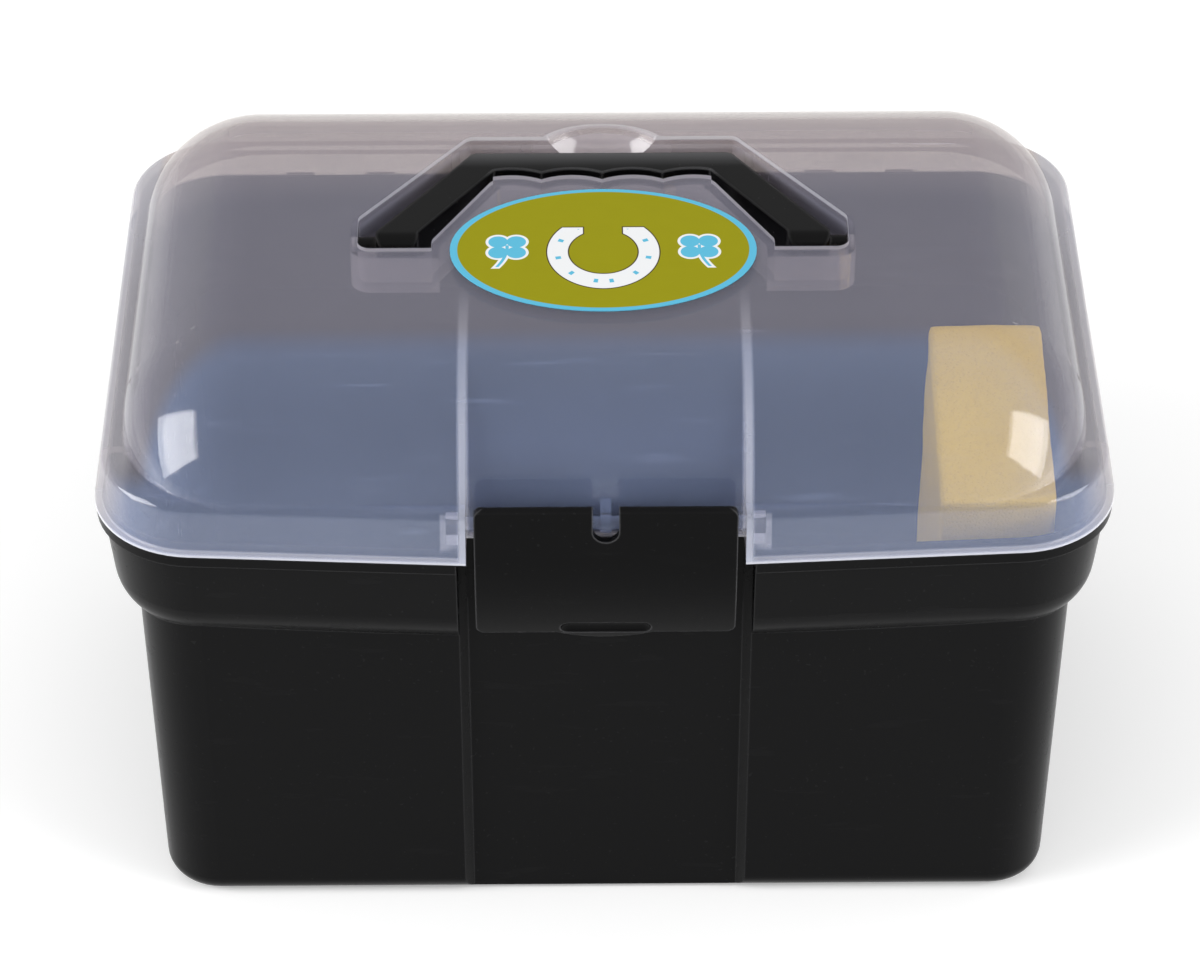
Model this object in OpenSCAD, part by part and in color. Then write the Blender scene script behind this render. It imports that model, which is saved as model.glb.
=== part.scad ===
// Grooming box: black tub, hinged translucent lid, folding carry handle and front latch.

/* [Box] */
// Width over the rim
box_w = 300; // [220:1:400]
// Depth over the rim, front to rear
box_d = 198; // [150:1:280]
// Height of the tub, floor to lid joint
tub_h = 143; // [90:1:220]
// Height of the lid above the joint
lid_h = 50; // [40:1:80]
// Corner radius of the rim in plan
corner_r = 31; // [24:0.5:45]
// Sweep-back of the two front halves, degrees
front_sweep = 3.2; // [0.5:0.1:8]
// Wall of the mouldings
wall = 2.4; // [1.6:0.1:4]
// Air between pieces that move past each other
part_gap = 0.5; // [0.3:0.05:1]
// Air at the joint between lid and tub
joint_gap = 0.35; // [0.2:0.05:1]
// Overrun of every cut
overrun = 2; // [1:0.5:5]

/* [Tub] */
// Height of the flared band with its rim
band_h = 36; // [20:1:60]
// Inset of the body wall just under the band
body_inset = 11.5; // [6:0.5:16]
// Draft of the body wall, degrees
draft = 1.3; // [0:0.1:4]
// Round at the bottom edge
bottom_r = 7; // [3:0.5:12]
// Floor thickness
floor_t = 3; // [2:0.1:5]
// Height of the rim bead
rim_t = 3.6; // [2:0.1:6]
// Inset of the rim bead from the lid skirt
rim_inset = 0.4; // [0:0.1:2]
// Inset of the band under the rim bead
band_inset = 2.2; // [1:0.1:5]
// Lean of the band, degrees
band_lean = 6; // [0:0.5:15]
// Round of the lower edge of the band
band_round = 16; // [8:0.5:24]
// Height of the locating lip inside the rim
lip_h = 3; // [1:0.1:6]
// Thickness of the locating lip
lip_t = 1.4; // [1:0.1:3]

/* [Front channel] */
// Width of the recessed centre panel
panel_w = 81; // [60:1:120]
// Recess of the centre panel behind the body wall
panel_step = 2.6; // [1:0.1:6]
// Spread of the channel sides over the band
side_spread = 0.5; // [0.2:0.1:3]
// Width of the lid channel
lid_panel_w = 80; // [60:1:120]
// Depth of the lid channel at the joint
lid_channel = 12.5; // [8:0.5:20]
// Height of the round of the lid channel above the joint
lid_channel_up = 7; // [2:0.5:14]
// Round of the lid channel
lid_channel_r = 44.7; // [30:0.5:60]

/* [Lid] */
// Wall of the lid
lid_wall = 2.2; // [1.6:0.1:4]
// Height of the skirt
skirt_h = 17; // [10:0.5:24]
// Round at the top of the skirt
skirt_round = 3; // [1:0.25:6]
// Lean of the skirt, degrees
skirt_lean = 10; // [0:0.5:16]
// Inset of the dome behind the rim at its foot, at the sides
dome_inset = 8; // [5:0.1:14]
// Inset of the dome behind the rim at its foot, at front and rear
dome_set = 7.2; // [5:0.1:14]
// Round of the dome at front and rear
dome_round = 48; // [30:1:60]
// Lean of the dome sides, degrees
side_lean = 6; // [2:0.5:20]
// Round from the dome sides to the top and round the corners
side_round = 36; // [10:0.5:44]

/* [Handle] */
// Half width over the arms at the pivot
handle_half = 68; // [50:1:90]
// Half width of the grip at its rear edge
grip_half = 39.5; // [30:0.5:60]
// Place of the pivot behind the box centre
pivot_y = 1.5; // [-10:0.5:10]
// Depth of the pivot under the lid top
pivot_drop = 7.5; // [5:0.5:12]
// Reach from the pivot to the rear edge of the grip
handle_reach = 41.4; // [30:0.1:60]
// Width of the handle bar
bar_w = 10.4; // [7:0.1:16]
// Thickness of the handle bar
bar_t = 9; // [6:0.5:12]
// Pitch of the finger grooves
groove_pitch = 18.4; // [14:0.1:24]
// Depth of the finger grooves
groove_depth = 2.2; // [1:0.1:4]
// Rounding of the handle corners in plan
bar_round = 3; // [1:0.5:5]
// Radius of the trunnions
trunnion_r = 2.2; // [1.5:0.1:4]
// Running clearance of the trunnions
trunnion_gap = 0.1; // [0.03:0.01:0.2]

/* [Handle recess] */
// Air between the arms and the ends of the recess
recess_side = 5.2; // [2:0.1:12]
// Front wall of the recess before the pivot
recess_front = 12.5; // [8:0.5:20]
// Straight end wall behind the pivot
recess_end = 3.5; // [3:0.5:10]
// Gap behind the grip
recess_rear = 4.6; // [2:0.1:10]
// Air beside the grip at the rear corners of the recess
recess_corner = 1.5; // [0.5:0.1:6]
// Depth of the recess
recess_depth = 12.6; // [9:0.1:18]
// Air between the feet of the handle and the island
island_side = 4.4; // [2:0.1:10]
// Air beside the island at its rear edge
island_corner = 1; // [0.5:0.1:6]
// Straight side of the island behind the front wall
island_end = 4; // [1:0.5:8]
// Rear edge of the island before the grip
island_gap = 8; // [4:0.5:16]
// Rounding of the recess corners in plan
recess_round = 4; // [1:0.5:8]
// Radius of the finger scoop
scoop_r = 24; // [16:0.5:32]
// Reach of the finger scoop behind the recess
scoop_reach = 7.5; // [3:0.5:12]
// Lift of the scoop centre above the lid top
scoop_lift = 7; // [0:0.5:12]

/* [Latch] */
// Width of the latch
latch_w = 76; // [50:1:100]
// Top of the latch above the joint
latch_up = 19.8; // [12:0.2:28]
// Bottom of the latch under the joint
latch_down = 30.5; // [20:0.5:45]
// Drop of the finger lip under the latch
lip_drop = 2.6; // [1:0.1:5]
// Width of the finger lip
lip_w = 28; // [16:1:40]
// Front face of the latch behind the rim front
latch_in = 0.8; // [0:0.1:3]
// Thickness of the latch plate
latch_t = 2.6; // [1.6:0.1:4]
// Round of the lower half of the latch
latch_round = 85; // [50:1:140]
// Rounding of the latch corners
latch_corner = 3; // [1:0.5:8]
// Width of the notch round the centre lug
notch_w = 7.6; // [5:0.1:12]
// Depth of the notch
notch_h = 12; // [8:0.5:18]
// Height of the latch rod above the joint
rod_up = 10.6; // [6:0.2:16]
// Latch rod behind the rim front
rod_in = 6.6; // [4:0.2:10]
// Radius of the latch rod
rod_r = 2; // [1.2:0.1:3]
// Running clearance of the latch on its rod
rod_gap = 0.1; // [0.03:0.01:0.2]
// Wall of the latch clips
clip_t = 1.8; // [1:0.1:3]
// Width of one latch clip
clip_w = 13; // [6:0.5:20]
// Place of the latch clips off centre
clip_x = 21; // [12:0.5:30]
// Mouth of the latch clips
clip_mouth = 2.6; // [1:0.1:3.6]
// Radius of the bosses at the ends of the latch rod
boss_r = 3.4; // [2.4:0.1:5]
// Length of the bosses
boss_l = 3.8; // [2:0.1:8]
// Drop of the tail of the bosses under the rod
boss_tail = 8; // [4:0.5:9]
// Width of the centre lug of the lid
lug_w = 3.2; // [2:0.1:6]
// Height of the catch ledge under the joint
catch_down = 18; // [12:0.5:26]
// Thickness of the catch ledge
catch_t = 2.4; // [1.5:0.1:4]
// Width of the catch ledge
catch_w = 44; // [20:1:60]
// Air between the latch hook and the front of the ledge
hook_air = 0.5; // [0.3:0.05:1.5]
// Air of the latch hook under the ledge
hook_gap = 0.6; // [0.4:0.05:1.5]
// Depth of the finger groove over the lip
finger_cut = 1.2; // [0.4:0.1:2]
// Radius of the finger groove
finger_r = 3.4; // [2:0.1:6]

/* [Hinge] */
// Place of the hinges off centre, as a share of half the width
hinge_share = 0.56; // [0.4:0.01:0.65]
// Radius of the hinge knuckles
knuckle_r = 4.5; // [3:0.1:7]
// Width of the lid knuckle
knuckle_w = 16; // [8:0.5:30]
// Width of one tub ear
ear_w = 9; // [4:0.5:16]
// Radius of the hinge pins
pin_r = 1.6; // [1:0.1:3]
// Running clearance of the pins
pin_gap = 0.08; // [0.02:0.01:0.1]
// Drop of the hinge axis under the joint
hinge_drop = 7; // [5:0.5:14]
// Height of the webs behind the hinge
web_h = 14; // [8:0.5:20]

/* [Label] */
// Length of the label across the lid
label_w = 91; // [60:1:120]
// Width of the label, front to rear
label_d = 62; // [40:1:80]
// Centre of the label before the box centre
label_fwd = 12.4; // [0:0.2:30]
// Thickness of the label
label_t = 0.3; // [0.1:0.05:0.6]
// Air under the label
label_gap = 0.05; // [0.02:0.01:0.2]

/* [Sponge] */
// Width of the sponge
sponge_w = 36; // [20:1:60]
// Depth of the sponge, front to rear
sponge_d = 69; // [40:1:110]
// Air before the sponge
sponge_fwd = 6; // [4:0.5:40]
// Height of the sponge at its rear edge
sponge_h = 160; // [80:1:180]
// Slope of the sponge top, degrees
sponge_slope = 13; // [0:1:25]
// Round of the upright sponge edges
sponge_r = 12; // [4:0.5:16]
// Slope of the sponge's chamfer over the rounded foot of the tub, degrees
foot_slope = -45; // [-60:1:-30]
// Air round the sponge
sponge_gap = 0.6; // [0.3:0.1:2]

/* [Hidden] */
core_share = 0.14;
ear_share = 0.7071;
band_tuck_share = sqrt(3) / 2;
label_step = 5;
$fn = 64;

half_w = box_w / 2;
half_d = box_d / 2;
top_z = tub_h + lid_h;
lid_z = tub_h + joint_gap;
arc_x = half_w - corner_r;
rear_cy = half_d - corner_r;
lobe_x = panel_w / 2 + panel_step;
lid_half = lid_panel_w / 2;
lobe_l = (arc_x + corner_r * sin(front_sweep) - lobe_x) / cos(front_sweep);
front_cy = corner_r * cos(front_sweep) + lobe_l * sin(front_sweep) - half_d;

core_lap = corner_r * core_share;
band_z = tub_h - band_h;
body_top_r = corner_r - body_inset;
body_r = body_top_r - band_z * tan(draft);
band_r = corner_r - band_inset;
rim_z = tub_h - rim_t;
panel_half = panel_w / 2;
panel_y = -rear_cy - body_r + panel_step;
mitre_share = tan(22.5);

dome_z = tub_h + skirt_h;
dome_cz = top_z - dome_round;
dome_run = sqrt(dome_round * dome_round - (dome_z - dome_cz) * (dome_z - dome_cz));
dome_flat = half_d - dome_set - dome_run;
dome_half = half_w - dome_inset + (dome_z - dome_cz) * tan(side_lean);

pivot_z = top_z - pivot_drop;
grip_y = pivot_y + handle_reach;
recess_y = grip_y + recess_rear;
recess_z = top_z - recess_depth;
arm_a = atan2(handle_reach, handle_half - grip_half);
arm_run = bar_w / sin(arm_a);
grip_inner = grip_half - arm_run + bar_w / tan(arm_a);
recess_half = handle_half + recess_side;
recess_rear_half = grip_half + recess_corner;
island_half = handle_half - arm_run - island_side;
island_rear_half = grip_inner - island_corner;
groove_r = (groove_pitch * groove_pitch / 4 + groove_depth * groove_depth) / (2 * groove_depth);
island_y = grip_y - bar_w - island_gap;

rod_y = rod_in - half_d;
rod_z = tub_h + rod_up;
clip_r = rod_r + rod_gap + clip_t;
latch_y = latch_in - half_d;
latch_top = tub_h + latch_up;
latch_bottom = tub_h - latch_down;
catch_z = tub_h - catch_down;
hinge_x = half_w * hinge_share;
hinge_y = half_d + knuckle_r + part_gap;
hinge_z = tub_h - hinge_drop;
hinge_w = knuckle_w + 2 * (ear_w + part_gap);

// Profile carried round the plan of the rim, its front swept back in two halves;
// the profile is drawn out from the corner centre
module rim_sweep() {
  for (s = [0, 1]) mirror([s, 0, 0]) {
    translate([arc_x, front_cy, 0])
      rotate([0, 0, front_sweep - 90])
        rotate_extrude(angle = 90 - front_sweep) children();
    translate([arc_x, front_cy, 0])
      rotate([90, 0, front_sweep - 90])
        linear_extrude(lobe_l + lobe_x / 2) children();
    translate([arc_x, rear_cy, 0])
      rotate_extrude(angle = 90) children();
    translate([arc_x, rear_cy, 0])
      rotate([90, 0, 0])
        linear_extrude(rear_cy - front_cy) children();
  }
  translate([-arc_x, rear_cy, 0])
    rotate([90, 0, 90])
      linear_extrude(2 * arc_x) children();
}

module rim_core(z0, z1) {
  x = arc_x + core_lap;
  front = front_cy - core_lap;
  nose = lid_channel + joint_gap - half_d;
  translate([-x, front, z0]) cube([2 * x, rear_cy + core_lap - front, z1 - z0]);
  translate([-panel_half, nose, z0]) cube([panel_w, -nose, z1 - z0]);
}

// Profile carried round the straight plan of the body
module straight_sweep() {
  for (s = [0, 1], t = [0, 1]) mirror([s, 0, 0]) mirror([0, t, 0])
    translate([arc_x, rear_cy, 0])
      rotate_extrude(angle = 90) children();
  for (s = [0, 1]) mirror([s, 0, 0])
    translate([arc_x, rear_cy, 0])
      rotate([90, 0, 0])
        linear_extrude(2 * rear_cy) children();
  for (t = [0, 1]) mirror([0, t, 0])
    translate([-arc_x, rear_cy, 0])
      rotate([90, 0, 90])
        linear_extrude(2 * arc_x) children();
}

module straight_core(z0, z1) {
  x = arc_x + core_lap;
  y = rear_cy + core_lap;
  translate([-x, -y, z0]) cube([2 * x, 2 * y, z1 - z0]);
}

// Drafted wall with a rounded foot
module cup_profile(r, z0, z1, foot) {
  cr = r + foot * tan(draft) - foot / cos(draft);
  translate([cr, z0 + foot]) circle(foot);
  polygon([
    [0, z0],
    [cr, z0],
    [cr, z0 + foot],
    [cr + foot * cos(draft), z0 + foot - foot * sin(draft)],
    [r + (z1 - z0) * tan(draft), z1],
    [0, z1]
  ]);
}

// Flared band: leaning face with a large round at its lower edge
module band_profile(skin, z1) {
  face_z = band_z + band_round * band_tuck_share;
  cr = band_r - (rim_z - face_z) * tan(band_lean) - band_round / cos(band_lean);
  r = band_round - skin;
  intersection() {
    union() {
      translate([cr, face_z]) circle(r);
      polygon([
        [0, face_z - r],
        [cr, face_z - r],
        [cr, face_z],
        [cr + r * cos(band_lean), face_z - r * sin(band_lean)],
        [cr + r / cos(band_lean) + (z1 - face_z) * tan(band_lean), z1],
        [0, z1]
      ]);
    }
    translate([0, band_z]) square([corner_r, z1 - band_z]);
  }
}

module channel_outline(skin, reach) {
  foot = panel_half + skin * mitre_share;
  side = panel_half + panel_step + skin;
  polygon([
    [-foot, skin],
    [foot, skin],
    [side, skin * mitre_share - panel_step],
    [side + side_spread, -reach],
    [-side - side_spread, -reach],
    [-side, skin * mitre_share - panel_step]
  ]);
}

module tub_channel(skin, z1) {
  intersection() {
    translate([0, panel_y, 0])
      rotate([draft, 0, 0])
        translate([0, 0, -overrun])
          linear_extrude(tub_h + lip_h + 3 * overrun) channel_outline(skin, corner_r);
    translate([-half_w, -box_d, -overrun]) cube([box_w, box_d, z1 + overrun]);
  }
}

module hinge_bores(s) {
  translate([s * hinge_x - hinge_w, hinge_y, hinge_z])
    rotate([0, 90, 0]) cylinder(r = pin_r + pin_gap, h = 2 * hinge_w);
}

module tub_ears(s) {
  for (t = [-1, 1])
    translate([s * hinge_x + t * (knuckle_w + ear_w + 2 * part_gap) / 2 - ear_w / 2, 0, 0])
      rotate([90, 0, 90])
        linear_extrude(ear_w) {
          translate([hinge_y, hinge_z]) circle(knuckle_r);
          polygon([
            [half_d - wall, hinge_z + knuckle_r],
            [half_d - band_inset - wall / 2, hinge_z - web_h],
            [hinge_y + knuckle_r * ear_share, hinge_z - knuckle_r * ear_share],
            [hinge_y, hinge_z + knuckle_r]
          ]);
        }
}

module body_solid(skin, z0) {
  union() {
    straight_sweep() cup_profile(body_r - skin, z0, band_z + band_round, bottom_r - skin);
    straight_core(z0, band_z + band_round);
  }
}

module band_solid() {
  union() {
    rim_sweep() {
      band_profile(0, rim_z);
      translate([0, rim_z]) square([corner_r - rim_inset, rim_t]);
      translate([0, tub_h]) square([band_r - wall + lip_t, lip_h]);
    }
    rim_core(band_z, tub_h + lip_h);
  }
}

module band_space() {
  union() {
    rim_sweep() band_profile(wall, tub_h + lip_h + overrun);
    rim_core(band_z, tub_h + lip_h + overrun);
  }
}

// Break in the locating lip where the lid channel comes down
module lip_break() {
  half = lid_half + side_spread + lid_wall + part_gap;
  translate([-half, -half_d - overrun, tub_h]) cube([2 * half, corner_r, lip_h + overrun]);
}

module tub_shell() {
  difference() {
    union() {
      body_solid(0, 0);
      band_solid();
    }
    tub_channel(0, tub_h + lip_h + overrun);
    lip_break();
    difference() {
      union() {
        body_solid(wall, floor_t);
        band_space();
      }
      tub_channel(wall, tub_h);
    }
  }
}

module tub() color([0.03, 0.03, 0.032]) {
  difference() {
    union() {
      tub_shell();
      for (s = [-1, 1]) tub_ears(s);
      catch_ledge();
    }
    for (s = [-1, 1]) hinge_bores(s);
  }
}

// Place of the plate's inner face at a height under the joint
function plate_y(z) = latch_y + latch_round
  - sqrt((latch_round - latch_t) * (latch_round - latch_t) - (tub_h - z) * (tub_h - z));

module catch_ledge() {
  front = plate_y(catch_z) + part_gap * 2;
  translate([-catch_w / 2, front, catch_z])
    cube([catch_w, panel_y - catch_z * tan(draft) + wall / 2 - front, catch_t]);
}

module skirt_profile(skin) {
  r = corner_r - skin;
  z0 = lid_z - (skin > 0 ? overrun : 0);
  z1 = dome_z - skin;
  cz = z1 - skirt_round;
  cr = r - (cz - lid_z) * tan(skirt_lean) - skirt_round / cos(skirt_lean);
  translate([cr, cz]) circle(skirt_round);
  polygon([
    [0, z0],
    [r + (lid_z - z0) * tan(skirt_lean), z0],
    [cr + skirt_round * cos(skirt_lean), cz + skirt_round * sin(skirt_lean)],
    [cr, cz],
    [cr, z1],
    [0, z1]
  ]);
}

// Half of the dome seen from the front, its height measured from the axis of the rounds
module dome_profile(skin) {
  top = dome_round - skin;
  r = side_round - skin;
  cz = top - r;
  cx = dome_half - skin / cos(side_lean) - cz * tan(side_lean) - r / cos(side_lean);
  intersection() {
    union() {
      translate([cx, cz]) circle(r, $fn = 128);
      polygon([
        [0, 0],
        [cx + r / cos(side_lean) + cz * tan(side_lean), 0],
        [cx + r * cos(side_lean), cz + r * sin(side_lean)],
        [cx, cz],
        [cx, top],
        [0, top]
      ]);
    }
    square([box_w, top]);
  }
}

// Front or rear end of the dome: its profile turned about the axis of the round
module dome_end(skin) {
  for (s = [0, 1]) mirror([s, 0, 0])
    rotate([0, 90, 0])
      rotate_extrude(angle = 360, $fn = 128)
        mirror([1, -1, 0]) dome_profile(skin);
}

module dome(skin) {
  intersection() {
    union() {
      for (t = [0, 1]) mirror([0, t, 0])
        translate([0, dome_flat, dome_cz]) dome_end(skin);
      for (s = [0, 1]) mirror([s, 0, 0])
        translate([0, dome_flat, dome_cz])
          rotate([90, 0, 0])
            linear_extrude(2 * dome_flat) dome_profile(skin);
    }
    translate([-half_w, -half_d, dome_z - skirt_round - skin])
      cube([box_w, box_d, lid_h]);
  }
}

module skirt(skin) {
  union() {
    rim_sweep() skirt_profile(skin);
    rim_core(lid_z - (skin > 0 ? overrun : 0), dome_z - skin);
  }
}

module lid_solid(skin) {
  union() {
    skirt(skin);
    dome(skin);
  }
}

module lid_channel_cut(skin) {
  cy = lid_channel - half_d + lid_channel_r;
  cz = tub_h + lid_channel_up;
  intersection() {
    translate([-half_w, 0, 0])
      rotate([90, 0, 90])
        linear_extrude(box_w)
          difference() {
            translate([-box_d, tub_h - overrun]) square([box_d + cy, lid_h + 2 * overrun]);
            translate([cy, cz]) circle(lid_channel_r - skin, $fn = 128);
            translate([cy - lid_channel_r + skin, tub_h - 2 * overrun])
              square([lid_channel_r, lid_channel_up + 2 * overrun]);
          }
    translate([0, lid_channel - half_d + panel_step + skin + dome_round, tub_h - overrun])
      linear_extrude(lid_h + 2 * overrun)
        lid_channel_plan(skin);
  }
}

module lid_channel_plan(skin) {
  half = lid_half + skin;
  polygon([
    [-half, 0],
    [half, 0],
    [half + side_spread, -dome_round - corner_r - overrun],
    [-half - side_spread, -dome_round - corner_r - overrun]
  ]);
}

module rounded(r) {
  offset(r = r) offset(delta = -r) children();
}

module recess_plan(skin) {
  end_y = pivot_y + recess_end;
  front_y = pivot_y - recess_front;
  offset(delta = skin)
    difference() {
      rounded(recess_round) polygon([
        [-recess_half, front_y],
        [recess_half, front_y],
        [recess_half, end_y],
        [recess_rear_half, recess_y],
        [-recess_rear_half, recess_y],
        [-recess_half, end_y]
      ]);
      rounded(recess_round) polygon([
        [-island_half, front_y - recess_front],
        [island_half, front_y - recess_front],
        [island_half, front_y + island_end],
        [island_rear_half, island_y],
        [-island_rear_half, island_y],
        [-island_half, front_y + island_end]
      ]);
      intersection() {
        for (i = [-1.5 : 1.5])
          translate([i * groove_pitch, island_y + groove_depth - groove_r]) circle(groove_r);
        translate([-island_rear_half, island_y - groove_depth]) square([2 * island_rear_half, bar_w]);
      }
    }
}

module recess(skin) {
  scoop_y = recess_y + scoop_reach - sqrt(scoop_r * scoop_r - scoop_lift * scoop_lift);
  translate([0, 0, recess_z - skin]) linear_extrude(recess_depth + overrun) recess_plan(skin);
  intersection() {
    translate([0, scoop_y, top_z + scoop_lift]) sphere(scoop_r + skin);
    translate([-half_w, island_y + groove_depth - skin, tub_h]) cube([box_w, box_d, 2 * lid_h]);
  }
}

module lid_shell() {
  difference() {
    lid_solid(0);
    lid_channel_cut(0);
    recess(0);
    difference() {
      lid_solid(lid_wall);
      lid_channel_cut(lid_wall);
      recess(lid_wall);
    }
  }
}

module lid_knuckle(s) {
  translate([s * hinge_x - knuckle_w / 2, 0, 0])
    rotate([90, 0, 90])
      linear_extrude(knuckle_w) {
        translate([hinge_y, hinge_z]) circle(knuckle_r);
        polygon([
          [half_d - lid_wall, lid_z],
          [half_d + part_gap, lid_z],
          [half_d + part_gap, hinge_z],
          [hinge_y + knuckle_r * ear_share, hinge_z + knuckle_r * ear_share],
          [half_d - lid_wall, tub_h + web_h - skirt_round]
        ]);
      }
}

module latch_rod() {
  translate([-lid_half - lid_wall, rod_y, rod_z])
    rotate([0, 90, 0]) cylinder(r = rod_r, h = 2 * (lid_half + lid_wall));
  translate([-lug_w / 2, rod_y, rod_z - rod_r])
    cube([lug_w, lid_channel + lid_wall / 2 - rod_in, rod_r * 2 + clip_t]);
  translate([-lug_w / 2, rod_y, rod_z]) rotate([0, 90, 0]) cylinder(r = rod_r + clip_t / 2, h = lug_w);
}

// Boss with a pointed tail behind each end of the rod
module rod_bosses() {
  for (s = [0, 1]) mirror([s, 0, 0])
    translate([lid_half + lid_wall / 2, 0, 0])
      rotate([90, 0, 90])
        linear_extrude(boss_l + lid_wall / 2) {
          translate([rod_y, rod_z]) circle(boss_r);
          polygon([[rod_y - boss_r, rod_z], [rod_y, rod_z - boss_tail], [rod_y + boss_r, rod_z]]);
        }
}

module lid() color([0.75, 0.78, 0.84, 0.45]) {
  difference() {
    union() {
      lid_shell();
      for (s = [-1, 1]) lid_knuckle(s);
      latch_rod();
      rod_bosses();
    }
    for (s = [-1, 1]) hinge_bores(s);
    for (s = [-1, 1])
      translate([s * (recess_half + lid_wall / 2) - lid_wall, pivot_y, pivot_z])
        rotate([0, 90, 0]) cylinder(r = trunnion_r + trunnion_gap, h = 2 * lid_wall);
  }
}

// Handle: flat bar bent to three sides, grooved under the grip, on two trunnions
module handle_plan() {
  grip_front = grip_y - bar_w;
  groove_half = grip_inner - 2 * groove_depth / tan(arm_a);
  difference() {
    rounded(bar_round) polygon([
      [-handle_half, pivot_y],
      [-grip_half, grip_y],
      [grip_half, grip_y],
      [handle_half, pivot_y],
      [handle_half, pivot_y - bar_t / 2],
      [handle_half - arm_run, pivot_y - bar_t / 2],
      [handle_half - arm_run, pivot_y],
      [grip_inner, grip_front],
      [-grip_inner, grip_front],
      [arm_run - handle_half, pivot_y],
      [arm_run - handle_half, pivot_y - bar_t / 2],
      [-handle_half, pivot_y - bar_t / 2]
    ]);
    intersection() {
      for (i = [-1.5 : 1.5])
        translate([i * groove_pitch, grip_front + groove_depth - groove_r]) circle(groove_r);
      polygon([
        [overrun - grip_inner, grip_front - overrun],
        [grip_inner - overrun, grip_front - overrun],
        [grip_inner, grip_front],
        [groove_half, grip_front + 2 * groove_depth],
        [-groove_half, grip_front + 2 * groove_depth],
        [-grip_inner, grip_front]
      ]);
    }
  }
}

module handle() color([0.035, 0.035, 0.04]) {
  difference() {
    translate([0, 0, pivot_z - bar_t / 2]) linear_extrude(bar_t) handle_plan();
    for (s = [-1, 1])
      translate([s * (handle_half - arm_run / 2) - arm_run, pivot_y, pivot_z])
        rotate([0, 90, 0])
          difference() {
            translate([-bar_t, -bar_t, 0]) cube([2 * bar_t, bar_t, 2 * arm_run]);
            cylinder(r = bar_t / 2, h = 2 * arm_run);
          }
  }
  for (s = [0, 1])
    mirror([s, 0, 0])
      translate([handle_half - overrun, pivot_y, pivot_z])
        rotate([0, 90, 0])
          cylinder(r = trunnion_r, h = recess_half + lid_wall / 2 - handle_half + overrun);
}

// Latch: curved plate clipped on the rod of the lid, hooked under the ledge of the tub
module latch_side() {
  cy = latch_y + latch_round;
  low = latch_bottom - lip_drop;
  difference() {
    translate([cy, tub_h]) circle(latch_round, $fn = 256);
    translate([cy, tub_h]) circle(latch_round - latch_t, $fn = 256);
    translate([latch_y - overrun, tub_h]) square([3 * latch_round, 2 * latch_round]);
    translate([latch_y - overrun, low - 3 * latch_round]) square([3 * latch_round, 3 * latch_round]);
    translate([cy, low - overrun]) square([2 * latch_round, latch_round]);
  }
  translate([latch_y, tub_h]) square([latch_t, latch_up - latch_t / 2]);
  translate([latch_y + latch_t / 2, latch_top - latch_t / 2]) circle(latch_t / 2);
}

module latch_front() {
  lip_r = (lip_w * lip_w / 4 + lip_drop * lip_drop) / (2 * lip_drop);
  difference() {
    union() {
      rounded(latch_corner)
        translate([-latch_w / 2, latch_bottom]) square([latch_w, latch_up + latch_down]);
      intersection() {
        translate([0, latch_bottom - lip_drop + lip_r]) circle(lip_r);
        translate([-lip_w / 2, latch_bottom - lip_drop]) square([lip_w, 2 * lip_drop]);
      }
    }
    translate([0, latch_top - notch_h + notch_w / 2]) circle(notch_w / 2);
    translate([-notch_w / 2, latch_top - notch_h + notch_w / 2]) square([notch_w, notch_h]);
  }
}

module latch_clip(x) {
  translate([x - clip_w / 2, 0, 0])
    rotate([90, 0, 90])
      linear_extrude(clip_w)
        difference() {
          union() {
            translate([rod_y, rod_z]) circle(clip_r);
            translate([latch_y + latch_t / 2, rod_z - clip_r])
              square([rod_y - latch_y - latch_t / 2, 2 * clip_r]);
          }
          translate([rod_y, rod_z]) circle(rod_r + rod_gap);
          translate([rod_y, rod_z - clip_mouth / 2]) square([2 * clip_r, clip_mouth]);
        }
}

module latch_hook() {
  z = catch_z - hook_gap - catch_t;
  front = plate_y(z) - latch_t / 2;
  back = plate_y(catch_z) + part_gap * 2 - hook_air;
  translate([-catch_w / 2 - part_gap, front, z]) cube([catch_w + 2 * part_gap, back - front, catch_t]);
}

module latch() color([0.04, 0.04, 0.045]) {
  difference() {
    union() {
      intersection() {
        translate([-latch_w, 0, 0]) rotate([90, 0, 90]) linear_extrude(2 * latch_w) latch_side();
        translate([0, half_d, 0]) rotate([90, 0, 0]) linear_extrude(2 * box_d) latch_front();
      }
      for (s = [-1, 1]) latch_clip(s * clip_x);
      latch_hook();
    }
    finger_groove();
  }
}

module finger_groove() {
  z = latch_bottom + finger_r / 2;
  y = plate_y(z) - latch_t - finger_r + finger_cut;
  reach = lip_w / 2 - finger_r;
  translate([-reach, y, z]) rotate([0, 90, 0]) cylinder(r = finger_r, h = 2 * reach);
  for (s = [-1, 1]) translate([s * reach, y, z]) sphere(finger_r);
}

// Hinge pins: plain round rods held in the ears of the tub
module hinge_pin(s) {
  translate([s * hinge_x - hinge_w / 2, hinge_y, hinge_z])
    rotate([0, 90, 0]) cylinder(r = pin_r, h = hinge_w);
}

module hinge_pin_left() color([0.6, 0.6, 0.62]) hinge_pin(-1);

module hinge_pin_right() color([0.6, 0.6, 0.62]) hinge_pin(1);

// Label: thin oval laid on the flat top before the grip
module lid_label() color([0.55, 0.55, 0.1]) {
  translate([0, -label_fwd, top_z + label_gap])
    linear_extrude(label_t)
      polygon([for (a = [0 : label_step : 360 - label_step]) [label_w / 2 * cos(a), label_d / 2 * sin(a)]]);
}

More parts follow.
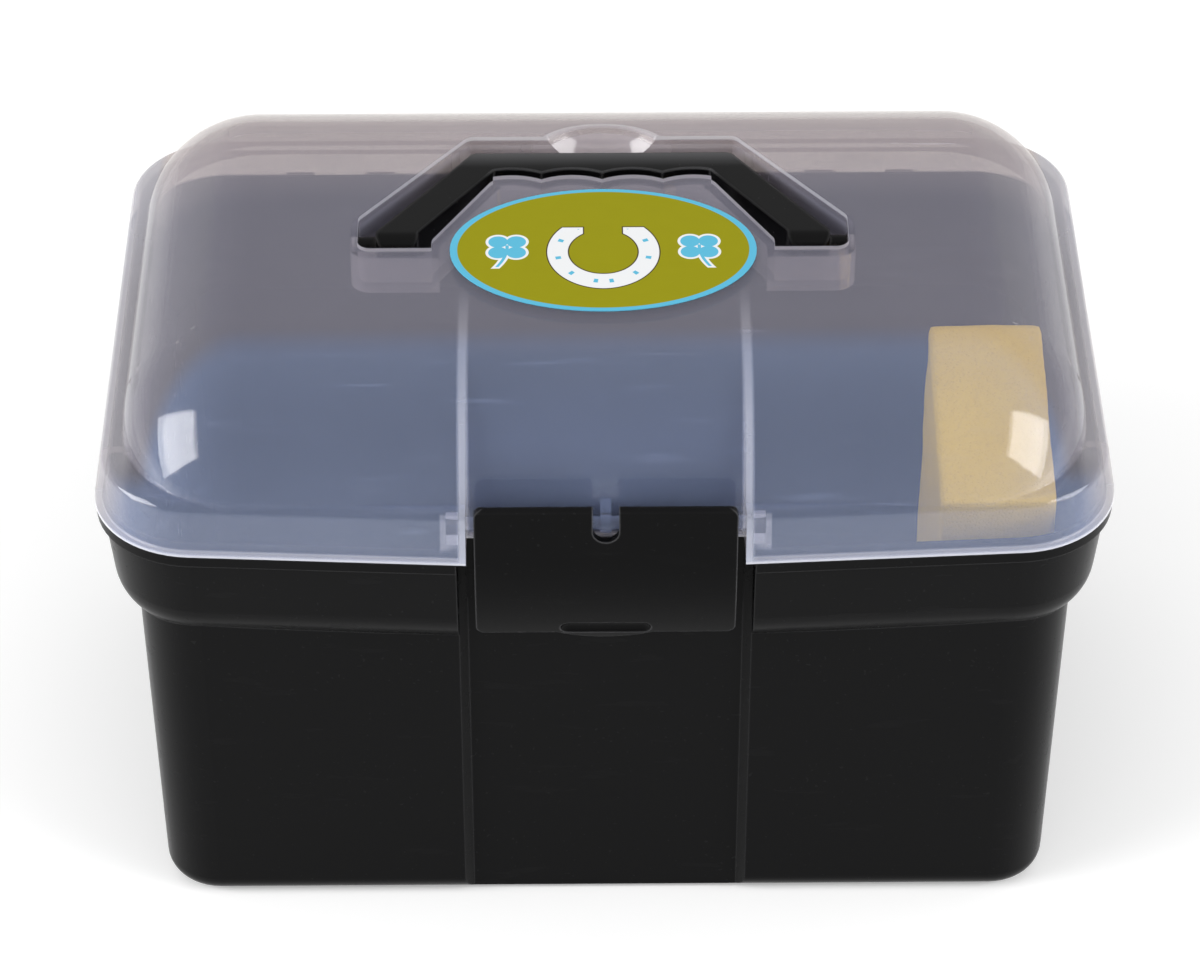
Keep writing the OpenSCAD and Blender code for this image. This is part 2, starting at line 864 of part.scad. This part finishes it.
// Sponge: upright block on the tub floor, its top running up to the rear
module sponge() color([0.85, 0.76, 0.5]) {
  right = arc_x + body_r - wall - sponge_gap;
  front = -rear_cy - body_r + wall + sponge_fwd;
  foot = bottom_r - wall;
  difference() {
    translate([0, 0, floor_t + sponge_gap])
      linear_extrude(sponge_h)
        rounded(sponge_r) translate([right - sponge_w, front]) square([sponge_w, sponge_d]);
    translate([right - sponge_w - overrun, front + sponge_d, floor_t + sponge_gap + sponge_h])
      rotate([sponge_slope, 0, 0])
        translate([0, -2 * sponge_d, 0]) cube([sponge_w + 2 * overrun, 3 * sponge_d, sponge_h]);
    translate([right - foot, front - overrun, floor_t + sponge_gap])
      rotate([0, foot_slope, 0])
        translate([0, 0, -2 * foot]) cube([4 * foot, sponge_d + 2 * overrun, 2 * foot]);
  }
}

tub();
lid();
handle();
latch();
hinge_pin_left();
hinge_pin_right();
lid_label();
sponge();
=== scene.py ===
import math

import bpy
import bmesh
from mathutils import Matrix, Quaternion, Vector


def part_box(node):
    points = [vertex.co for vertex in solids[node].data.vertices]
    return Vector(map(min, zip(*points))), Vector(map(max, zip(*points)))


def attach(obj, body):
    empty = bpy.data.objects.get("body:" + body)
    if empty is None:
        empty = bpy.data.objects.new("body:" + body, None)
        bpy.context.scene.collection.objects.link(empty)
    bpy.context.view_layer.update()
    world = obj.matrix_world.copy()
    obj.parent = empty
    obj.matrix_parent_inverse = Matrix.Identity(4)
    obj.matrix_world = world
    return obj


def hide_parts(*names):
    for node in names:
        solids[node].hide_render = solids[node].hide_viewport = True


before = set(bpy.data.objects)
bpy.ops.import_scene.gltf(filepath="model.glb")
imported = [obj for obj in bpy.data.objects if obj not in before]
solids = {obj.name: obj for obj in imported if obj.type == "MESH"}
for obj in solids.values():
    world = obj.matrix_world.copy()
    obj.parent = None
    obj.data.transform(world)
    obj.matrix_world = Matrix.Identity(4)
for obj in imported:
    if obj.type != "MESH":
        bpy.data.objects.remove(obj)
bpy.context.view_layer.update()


# Tub: one deep injection moulding of black polypropylene with a flared band under the rim,
# a sunk centre panel for the latch and two pairs of hinge ears at the rear.
# It comes out of a polished mould, so it is glossy, with faint flow waviness and rub marks, and a
# painted highlight along its edges.
class Wire:
    """A shader socket that can be used in Python sums."""

    def __init__(self, tree, socket=None):
        self.tree, self.socket = tree, socket

    def node(self, kind, settings, values, out=0):
        made = self.tree.nodes.new("ShaderNode" + kind)
        for name, value in settings.items():
            setattr(made, name, value)
        for name, value in values.items():
            if isinstance(value, Wire):
                self.tree.links.new(value.socket, made.inputs[name])
            else:
                made.inputs[name].default_value = value
        return Wire(self.tree, made.outputs[out])

    def maths(self, operation, *terms, clamp=False):
        settings = {"operation": operation, "use_clamp": clamp}
        return self.node("Math", settings, dict(enumerate(terms)))

    def __add__(self, other):
        return self.maths("ADD", self, other)

    __radd__ = __add__

    def __sub__(self, other):
        return self.maths("SUBTRACT", self, other)

    def __rsub__(self, other):
        return self.maths("SUBTRACT", other, self)

    def __mul__(self, other):
        return self.maths("MULTIPLY", self, other)

    __rmul__ = __mul__

    def __truediv__(self, other):
        return self.maths("DIVIDE", self, other)

    def __pow__(self, other):
        return self.maths("POWER", self, other)

    def __abs__(self):
        return self.maths("ABSOLUTE", self)

    def most(self, other):
        return self.maths("MAXIMUM", self, other)

    def least(self, other):
        return self.maths("MINIMUM", self, other)

    def clamp(self):
        return self.maths("ADD", self, 0.0, clamp=True)

    def mix(self, first, second):
        return self.node("Mix", {"data_type": "RGBA"}, {0: self, 6: first, 7: second}, out=2)

    def xyz(self):
        split = self.node("SeparateXYZ", {}, {0: self}).socket.node
        return [Wire(self.tree, socket) for socket in split.outputs]


def new_finish(name):
    finish = bpy.data.materials.new(name)
    finish.use_nodes = True
    finish.node_tree.nodes.clear()
    wires = Wire(finish.node_tree)
    return finish, wires, wires.node("TexCoord", {}, {}, out="Object")


def show(wires, shader):
    output = wires.tree.nodes.new("ShaderNodeOutputMaterial")
    wires.tree.links.new(shader.socket, output.inputs["Surface"])


def past(value, start, fade):
    return ((value - start) / fade).clamp()


def moulded_black(name, shade, gloss, sheen, grain, edge, edge_highlight_strength, grip_highlight_depth=None):
    black = (shade, shade, shade * 1.05, 1)
    rub_grey = (shade * 2.2, shade * 2.2, shade * 2.3, 1)
    dust_grey, highlight_grey = (0.10, 0.10, 0.10, 1), (0.12, 0.12, 0.125, 1)
    wave_height, highlight_turn = 0.00006, 0.16
    rub_share, speck_share = 0.35, 0.05
    finish, wires, place = new_finish(name)

    waviness = wires.node("TexNoise", {}, {"Vector": place, "Scale": 38.0, "Detail": 2.0})
    texture = wires.node("TexNoise", {}, {"Vector": place, "Scale": 2600.0, "Detail": 1.0})
    stretched = wires.node("Mapping", {}, {
        "Vector": place, "Scale": (34.0, 300.0, 190.0), "Rotation": (0.3, 0.5, 0.4),
    })
    rubs = wires.node("TexNoise", {}, {"Vector": stretched, "Scale": 1.0, "Detail": 3.0})
    rubbed = past(rubs, start=0.62, fade=1 / 6)
    dust = wires.node("TexNoise", {}, {"Vector": place, "Scale": 900.0, "Detail": 0.0})
    specks = past(dust, start=0.79, fade=1 / 14)
    rounded = wires.node("Bevel", {"samples": 4}, {"Radius": edge})
    flat = wires.node("NewGeometry", {}, {}, out="Normal")
    dot = {"operation": "DOT_PRODUCT"}
    facing = wires.node("VectorMath", dot, {0: rounded, 1: flat}, out="Value")
    # painted highlight: edges that would catch the light are painted a lighter grey
    painted_edge_highlight = ((1 - facing) / highlight_turn).clamp() * (0.55 + waviness * 0.5)

    colour = (rubbed * rub_share).mix(black, rub_grey)
    colour = (specks * speck_share).mix(colour, dust_grey)
    if grip_highlight_depth is not None:
        # painted highlight: the grip behind this depth is painted lighter, and the painted edge
        # highlight before it is weaker
        arm_edge_highlight, grip_highlight_share, grip_highlight_fall = 0.35, 0.72, 1.4
        depth = place.xyz()[1]
        grip = past(depth, start=grip_highlight_depth - 0.005, fade=0.003)
        painted_edge_highlight = painted_edge_highlight * (arm_edge_highlight + grip * (1 - arm_edge_highlight))
        # painted highlight on the rear of the grip's top
        painted_grip_highlight = past(depth, start=grip_highlight_depth, fade=0.0081) ** grip_highlight_fall
        colour = (painted_grip_highlight * grip_highlight_share).mix(colour, highlight_grey)
    # mix in the painted edge highlight
    colour = (painted_edge_highlight * edge_highlight_strength).mix(colour, highlight_grey)
    height = waviness * wave_height + texture * grain
    bump = wires.node("Bump", {}, {"Height": height, "Distance": 1.0, "Normal": rounded})
    show(wires, wires.node("BsdfPrincipled", {}, {
        "Base Color": colour,
        "Roughness": gloss + waviness * 0.06 + rubbed * 0.1 + specks * 0.15,
        "Specular IOR Level": sheen,
        "Normal": bump,
    }))
    return finish


def dress(node, finish):
    for slot in solids[node].material_slots:
        slot.material = finish


dress("tub", moulded_black(
    "tub_black", shade=0.0042, gloss=0.22, sheen=0.065, grain=0.0, edge=0.0007, edge_highlight_strength=0.38,
))


# Hinge pins: two short rods of drawn steel wire pushed through the ears of the tub.
# Bright, with fine lines along the drawing direction.
pin_dull, pin_bright = (0.46, 0.46, 0.47, 1), (0.62, 0.62, 0.63, 1)
pin_line_depth = 0.00002
pin_finish, wires, place = new_finish("pin_wire")
drawn = wires.node("Mapping", {}, {"Vector": place, "Scale": (60.0, 5200.0, 5200.0)})
lines = wires.node("TexNoise", {}, {"Vector": drawn, "Scale": 1.0, "Detail": 2.0})
bump = wires.node("Bump", {}, {"Height": lines * pin_line_depth, "Distance": 1.0})
show(wires, wires.node("BsdfPrincipled", {}, {
    "Base Color": lines.mix(pin_dull, pin_bright),
    "Metallic": 1.0,
    "Roughness": 0.24 + lines * 0.18,
    "Normal": bump,
}))
dress("hinge_pin_left", pin_finish)
dress("hinge_pin_right", pin_finish)


# Sponge: a loose block of pale yellow open-cell foam standing in the right front corner of the tub.
# Cut from a slab with a sloping top, so its faces are flat but soft at the edges,
# with small open pores all over, their hollows darkened as painted shade.
foam_slack = 0.0009
top_slope, foot_cut = math.radians(13), 0.0125
upright_round, top_round, round_steps = 0.0016, 0.0012, 2
shortest_upright, plumb_error, top_facing = 0.05, 0.001, 0.5
foam_voxel, lump_size, lump_swell = 0.0013, 0.022, 0.0011
foam_deep, foam_pale = (0.86, 0.63, 0.06, 1), (0.93, 0.71, 0.11, 1)
pit_painted_shade, pit_depth = (0.55, 0.36, 0.06, 1), 0.00022

low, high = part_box("sponge")
low += Vector((foam_slack, foam_slack, foam_slack))
high -= Vector((foam_slack, foam_slack, foam_slack))
bpy.ops.object.select_all(action="DESELECT")
bpy.ops.mesh.primitive_cube_add(size=1, location=(low + high) / 2)
sponge = bpy.context.object
sponge.name = "sponge_block"
sponge.scale = high - low
bpy.ops.object.transform_apply(location=True, rotation=True, scale=True)

bpy.ops.object.mode_set(mode="EDIT")
foot = Vector((high.x - foot_cut, 0, low.z))
for cut_at, cut_facing in (
    (high, (0, -math.sin(top_slope), math.cos(top_slope))),
    (foot, (1, 0, -1)),
):
    bpy.ops.mesh.select_all(action="SELECT")
    bpy.ops.mesh.bisect(plane_co=cut_at, plane_no=cut_facing, clear_outer=True, use_fill=True)
bpy.ops.mesh.select_mode(type="EDGE")
bpy.ops.mesh.select_all(action="DESELECT")
cage = bmesh.from_edit_mesh(sponge.data)
for edge in cage.edges:
    run = edge.verts[0].co - edge.verts[1].co
    plumb = abs(run.x) + abs(run.y) < plumb_error
    edge.select_set(abs(run.z) > shortest_upright and plumb)
bmesh.update_edit_mesh(sponge.data)
bpy.ops.mesh.bevel(offset=upright_round, segments=round_steps)
bpy.ops.mesh.select_all(action="DESELECT")
cage = bmesh.from_edit_mesh(sponge.data)
for edge in cage.edges:
    tops = [face.normal.z > top_facing for face in edge.link_faces]
    edge.select_set(any(tops) and not all(tops))
bmesh.update_edit_mesh(sponge.data)
bpy.ops.mesh.bevel(offset=top_round, segments=round_steps)
bpy.ops.object.mode_set(mode="OBJECT")

remesh = sponge.modifiers.new("even_faces", "REMESH")
remesh.mode = "VOXEL"
remesh.voxel_size = foam_voxel
bpy.ops.object.modifier_apply(modifier=remesh.name)
lumps = bpy.data.textures.new("foam_lumps", "CLOUDS")
lumps.noise_scale = lump_size
swell = sponge.modifiers.new("soft_faces", "DISPLACE")
swell.texture = lumps
swell.texture_coords = "LOCAL"
swell.strength = lump_swell
swell.mid_level = 0.5
bpy.ops.object.modifier_apply(modifier=swell.name)
soften = sponge.modifiers.new("soft_edges", "SMOOTH")
soften.factor, soften.iterations = 0.5, 1
bpy.ops.object.modifier_apply(modifier=soften.name)
bpy.ops.object.shade_smooth()

foam_finish, wires, place = new_finish("yellow_foam")
cells = wires.node("TexVoronoi", {"feature": "F1"}, {"Vector": place, "Scale": 1100.0})
blotch = wires.node("TexNoise", {}, {"Vector": place, "Scale": 60.0, "Detail": 4.0})
pits = (1 - cells * 1.5).clamp() ** 2
colour = blotch.mix(foam_deep, foam_pale)
# painted shade: the pores are painted darker where shade falls in them
colour = (pits * 0.28).mix(colour, pit_painted_shade)
bump = wires.node("Bump", {}, {"Height": pits * -pit_depth, "Distance": 1.0})
show(wires, wires.node("BsdfPrincipled", {}, {
    "Base Color": colour,
    "Roughness": 0.85 + blotch * 0.1,
    "Specular IOR Level": 0.2,
    "Normal": bump,
}))
sponge.data.materials.clear()
sponge.data.materials.append(foam_finish)
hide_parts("sponge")
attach(sponge, "tub")


# Lid: one domed moulding of natural polypropylene, 2.2 mm thick, which passes light but clouds it.
# It swings on the hinge pins and carries the handle's recess, the finger scoop and the latch's rod.
# Each face of the wall passes most light, scatters some as a bluish haze and mirrors the lamps. The
# haze is tinted apart on the top, front, rear, ends and channel, as painted light.
clear_tint = (0.96, 0.93, 0.905, 1)
milk_top_painted_light, milk_front_painted_light = (0.43, 0.43, 0.55, 1), (0.42, 0.54, 0.89, 1)
milk_rear_painted_light, milk_flank_painted_light = (0.61, 0.52, 0.52, 1), (0.56, 0.56, 0.64, 1)
milk_channel_painted_light, painted_highlight_white = (0.47, 0.59, 0.95, 1), (0.86, 0.86, 0.92, 1)
flow_height = 0.00012
front_y, front_sweep = -0.0505, 0.024
step_x, step_half = 0.0411, 0.0019
scoop_y, scoop_reach, lip_radius, lip_half = 0.032, 0.0265, 0.0231, 0.0008
boss_x, boss_y, boss_z = 0.0451, -0.0924, 0.1513
boss_half_x, boss_half_y, boss_half_z, boss_fade = 0.0028, 0.0038, 0.0062, 0.0003


def short_of(value, end, fade):
    return ((end - value) / fade).clamp()


def away(dx, dy):
    return (dx * dx + dy * dy) ** 0.5


lid_finish, wires, place = new_finish("lid_haze")
flow = wires.node("TexNoise", {}, {"Vector": place, "Scale": 22.0, "Detail": 3.0})
brushed = wires.node("Mapping", {}, {
    "Vector": place, "Scale": (26.0, 420.0, 160.0), "Rotation": (0.2, 0.1, 0.6),
})
scratches = wires.node("TexNoise", {}, {"Vector": brushed, "Scale": 1.0, "Detail": 2.0})
scuffs = past(scratches, start=0.66, fade=1 / 7)
grazing = wires.node("LayerWeight", {}, {"Blend": 0.35}, out="Facing")
side, depth, height = place.xyz()
side = abs(side)

# the broad faces: front slope, rear slope, the two ends and the flat top, whose milk is tinted
# apart as painted light
rear = past(depth, start=0.015, fade=0.07)
bend = past(side, start=0.105, fade=0.03)
front = short_of(depth, end=front_y - bend * bend * front_sweep, fade=0.010)
flank = past(side, start=0.137, fade=0.003) * past(depth, start=-0.088, fade=0.02)
top = past(height, start=0.1905, fade=0.0015)
channel = short_of(side, end=0.0405, fade=0.001) * short_of(height, end=0.188, fade=0.015)
channel = channel * short_of(depth, end=-0.06, fade=0.01)

# the handle's recess, painted lighter against its shade, and the finger scoop behind it
around = short_of(side, end=0.079, fade=0.001) * past(depth, start=-0.0135, fade=0.001)
pocket = around * short_of(height, end=0.1903, fade=0.0006)
pocket = pocket * short_of(depth, end=0.0555, fade=0.001)
across = away(side, depth - scoop_y)
scoop = short_of(across, end=scoop_reach, fade=0.0005) * past(depth, start=0.0472, fade=0.0004)

# painted highlights on the edges that catch light: rim, sides of the channel, lip of the scoop, rod
# bosses, recess
rim = short_of(height, end=0.1446, fade=0.0008) * short_of(depth, end=0.0995, fade=0.0005)
step = short_of(abs(side - step_x), end=step_half, fade=0.001)
step = step * short_of(depth, end=-0.03, fade=0.05)
lip = scoop * short_of(abs(across - lip_radius), end=lip_half, fade=0.0005)
lip = lip * past(height, start=0.191, fade=0.0005)
boss = short_of(abs(depth - boss_y), end=boss_half_y, fade=boss_fade)
boss = boss * short_of(abs(height - boss_z), end=boss_half_z, fade=boss_fade)
boss = boss * short_of(abs(side - boss_x), end=boss_half_x, fade=boss_fade)
brink = around * past(height, start=0.1913, fade=0.0005)
brink = brink * short_of(height, end=0.19294, fade=0.00004)
brink = brink * short_of(depth, end=0.0482, fade=0.0004)
# painted highlight along these edges, in a whiter milk with more haze
lid_painted_highlight = rim * 0.8
for lit_edge, strength in ((step, 0.5), (lip, 0.4), (boss, 0.45), (brink, 0.6)):
    lid_painted_highlight = lid_painted_highlight.most(lit_edge * strength)

# partly real haze and partly painted light: more lit milk at the rear, in the recess, on the ends
# and at the painted edge highlights
haze_and_painted_light = 0.12 + rear * 0.25 + grazing * 0.26 + flow * 0.03 + scuffs * 0.07
haze_and_painted_light = (haze_and_painted_light + lid_painted_highlight * 0.5 + pocket * 0.21 + flank * 0.16).clamp()
# painted light: the same plastic gets a greyer, bluer or warmer milk on each face, as light falls
# there
painted_face_light = front.mix(milk_top_painted_light, milk_front_painted_light)
painted_face_light = rear.mix(painted_face_light, milk_rear_painted_light)
painted_face_light = flank.mix(painted_face_light, milk_flank_painted_light)
painted_face_light = channel.mix(painted_face_light, milk_channel_painted_light)
bump = wires.node("Bump", {}, {"Height": flow * flow_height, "Distance": 1.0})
milk = wires.node("BsdfPrincipled", {}, {
    "Base Color": lid_painted_highlight.mix(painted_face_light, painted_highlight_white),
    "Roughness": 0.1 + flow * 0.06 + scuffs * 0.2 + top * 0.3,
    "Specular IOR Level": 0.5,
    "Coat Weight": (1 - scoop * 0.7 - top * 0.95 - channel * 0.7).clamp(),
    "Coat Roughness": 0.06,
    "Coat IOR": 2.6,
    "Normal": bump,
})
clear = wires.node("BsdfTransparent", {}, {"Color": clear_tint})
show(wires, wires.node("MixShader", {}, {0: haze_and_painted_light, 1: clear, 2: milk}))
dress("lid", lid_finish)


# Handle: a bar of black plastic bent to three sides, with finger grooves along the grip,
# clipped into the ends of the recess on two trunnions.
# It has a fine grain and a high gloss, with a painted highlight on the rear of the grip's top and
# along its edges.
dress("handle", moulded_black(
    "handle_black", shade=0.0020, gloss=0.12, sheen=0.15, grain=0.000004, edge=0.0014, edge_highlight_strength=0.95,
    grip_highlight_depth=0.0350,
))


# Latch: a curved plate of black plastic snapped on the rod of the lid, with a finger lip below
# and a notch round the centre lug. Polished like the tub, with a painted highlight along its edges.
dress("latch", moulded_black(
    "latch_black", shade=0.0030, gloss=0.18, sheen=0.055, grain=0.0, edge=0.0008, edge_highlight_strength=0.95,
))


# Label: an oval of printed film with a soft gloss, stuck on the lid top before the grip.
# Olive ground with a sky-blue border, a white horseshoe in the middle and a clover on each side.
label_half, label_depth, label_y = 0.0455, 0.031, -0.0124
border_share, print_soft, film_height = 0.952, 0.00014, 0.00003
olive_deep, olive_pale = (0.287, 0.270, 0.003, 1), (0.315, 0.297, 0.005, 1)
white, sky, outline_brown = (0.83, 0.84, 0.85, 1), (0.11, 0.48, 0.68, 1), (0.05, 0.03, 0.015, 1)
shoe_stretch, shoe_y, shoe_radius = 0.92, -0.0015, 0.0148
shoe_half, shoe_taper, heel_end, heel_gap, shoe_line = 0.0036, 0.02, 0.0125, 0.0065, 0.0004
nail_start, nail_turn = 0.17, 0.3
nail_half_long, nail_half_wide, nail_inset = 0.0009, 0.0007, 0.0008
clover_x, clover_y, leaf_out, leaf_radius, leaf_line = 0.0285, 0.001, 0.0027, 0.0029, 0.0008
stem_y, stem_half_long, stem_half_wide, stem_bow = -0.0035, 0.0055, 0.0005, 30


def inside(distance):
    return (0.5 - distance / print_soft).clamp()


label_finish, wires, place = new_finish("printed_label")
x, y, _ = place.xyz()
y = y - label_y
oval = away(x / label_half, y / label_depth)
border = inside((border_share - oval) * label_depth)

across, along = x / shoe_stretch, y - shoe_y
ring = away(across, along)
from_ring = abs(ring - shoe_radius)
shoe = from_ring - (shoe_half - abs(across) * shoe_taper)
shoe = shoe.most(along - heel_end)
shoe = shoe.most(along.least(heel_gap - abs(across)))
turn = shoe.maths("ARCTAN2", abs(across), 0 - along)
spread = turn.maths("PINGPONG", turn - nail_start, nail_turn)
nails = (from_ring - nail_half_long).most(spread * shoe_radius - nail_half_wide)

aside, above = abs(x) - clover_x, y - clover_y
clover = away(abs(aside) - leaf_out, abs(above) - leaf_out) - leaf_radius
stem = abs(aside - above * above * stem_bow) - stem_half_wide
clover = clover.least(stem.most(abs(y - stem_y) - stem_half_long))

paper = wires.node("TexNoise", {}, {"Vector": place, "Scale": 160.0, "Detail": 3.0})
colour = (paper * 0.6).mix(olive_deep, olive_pale)
for printed, ink in (
    (inside(clover - leaf_line), white),
    (inside(clover), sky),
    (inside(shoe - shoe_line), outline_brown),
    (inside(shoe), white),
    (inside(nails) * inside(shoe + nail_inset), sky),
    (border, sky),
):
    colour = printed.mix(colour, ink)
bump = wires.node("Bump", {}, {"Height": paper * film_height, "Distance": 1.0})
show(wires, wires.node("BsdfPrincipled", {}, {
    "Base Color": colour,
    "Roughness": 0.3 + paper * 0.12,
    "Specular IOR Level": 0.07,
    "Normal": bump,
}))
dress("lid_label", label_finish)


# Studio: a plain white floor under the box, two soft boxes to the left and right in front,
# and an even white surround.
floor_size, floor_drop = 12, 0.0002
floor_dull, floor_pale = (0.93, 0.93, 0.93, 1), (0.95, 0.95, 0.95, 1)
unlit, floor_glow = (0, 0, 0, 1), (0.16, 0.16, 0.16, 1)
softbox_size, softbox_aim = (0.80, 1.00), Vector((0, 0, 0.12))
surround_white, surround_strength = (1, 1, 1, 1), 0.67

bpy.ops.object.select_all(action="DESELECT")
bpy.ops.mesh.primitive_plane_add(size=floor_size, location=(0, 0, -floor_drop))
floor = bpy.context.object
floor.name = "floor"
floor_finish, wires, place = new_finish("floor_white")
tone = wires.node("TexNoise", {}, {"Vector": place, "Scale": 3.0})
path = wires.node("LightPath", {}, {}).socket.node.outputs
rays = ("Is Camera Ray", "Is Glossy Ray", "Is Transmission Ray")
seen = sum(Wire(wires.tree, path[ray]) for ray in rays).clamp()
show(wires, wires.node("BsdfPrincipled", {}, {
    "Base Color": tone.mix(floor_dull, floor_pale),
    "Roughness": 0.8,
    "Specular IOR Level": 0.1,
    "Emission Color": seen.mix(unlit, floor_glow),
    "Emission Strength": 1.0,
}))
floor.data.materials.append(floor_finish)

for name, spot, power, turn in (
    ("softbox_left", (-1.33, -0.47, 0.64), 17.5, math.radians(-40)),
    ("softbox_right", (1.28, -0.59, 0.65), 14.0, math.radians(40)),
):
    lamp = bpy.data.lights.new(name, "AREA")
    lamp.shape = "RECTANGLE"
    lamp.size, lamp.size_y = softbox_size
    lamp.energy = power
    softbox = bpy.data.objects.new(name, lamp)
    bpy.context.scene.collection.objects.link(softbox)
    softbox.location = spot
    aim = (softbox_aim - Vector(spot)).to_track_quat("-Z", "Y")
    softbox.rotation_euler = (aim @ Quaternion((0, 0, 1), turn)).to_euler()

world = bpy.data.worlds.new("surround")
world.use_nodes = True
bpy.context.scene.world = world
surround = world.node_tree.nodes["Background"]
surround.inputs["Color"].default_value = surround_white
surround.inputs["Strength"].default_value = surround_strength


# Camera: at the photograph's angle, a long lens from well above the front of the box.
# It stands half a degree to the left of the middle.
lens_mm, sensor_mm = 135.0, 36.0
tilt, yaw = math.radians(51.6), math.radians(-0.5)
camera_spot = Vector((-0.00086, -1.1001, 0.968))
nearest, farthest = 0.05, 50.0
view = bpy.data.cameras.new("camera")
view.lens, view.sensor_width = lens_mm, sensor_mm
view.clip_start, view.clip_end = nearest, farthest
camera = bpy.data.objects.new("camera", view)
bpy.context.scene.collection.objects.link(camera)
camera.location = Matrix.Rotation(yaw, 3, "Z") @ camera_spot
camera.rotation_euler = (tilt, 0, yaw)
bpy.context.scene.camera = camera
bpy.context.scene.view_settings.view_transform = "Standard"
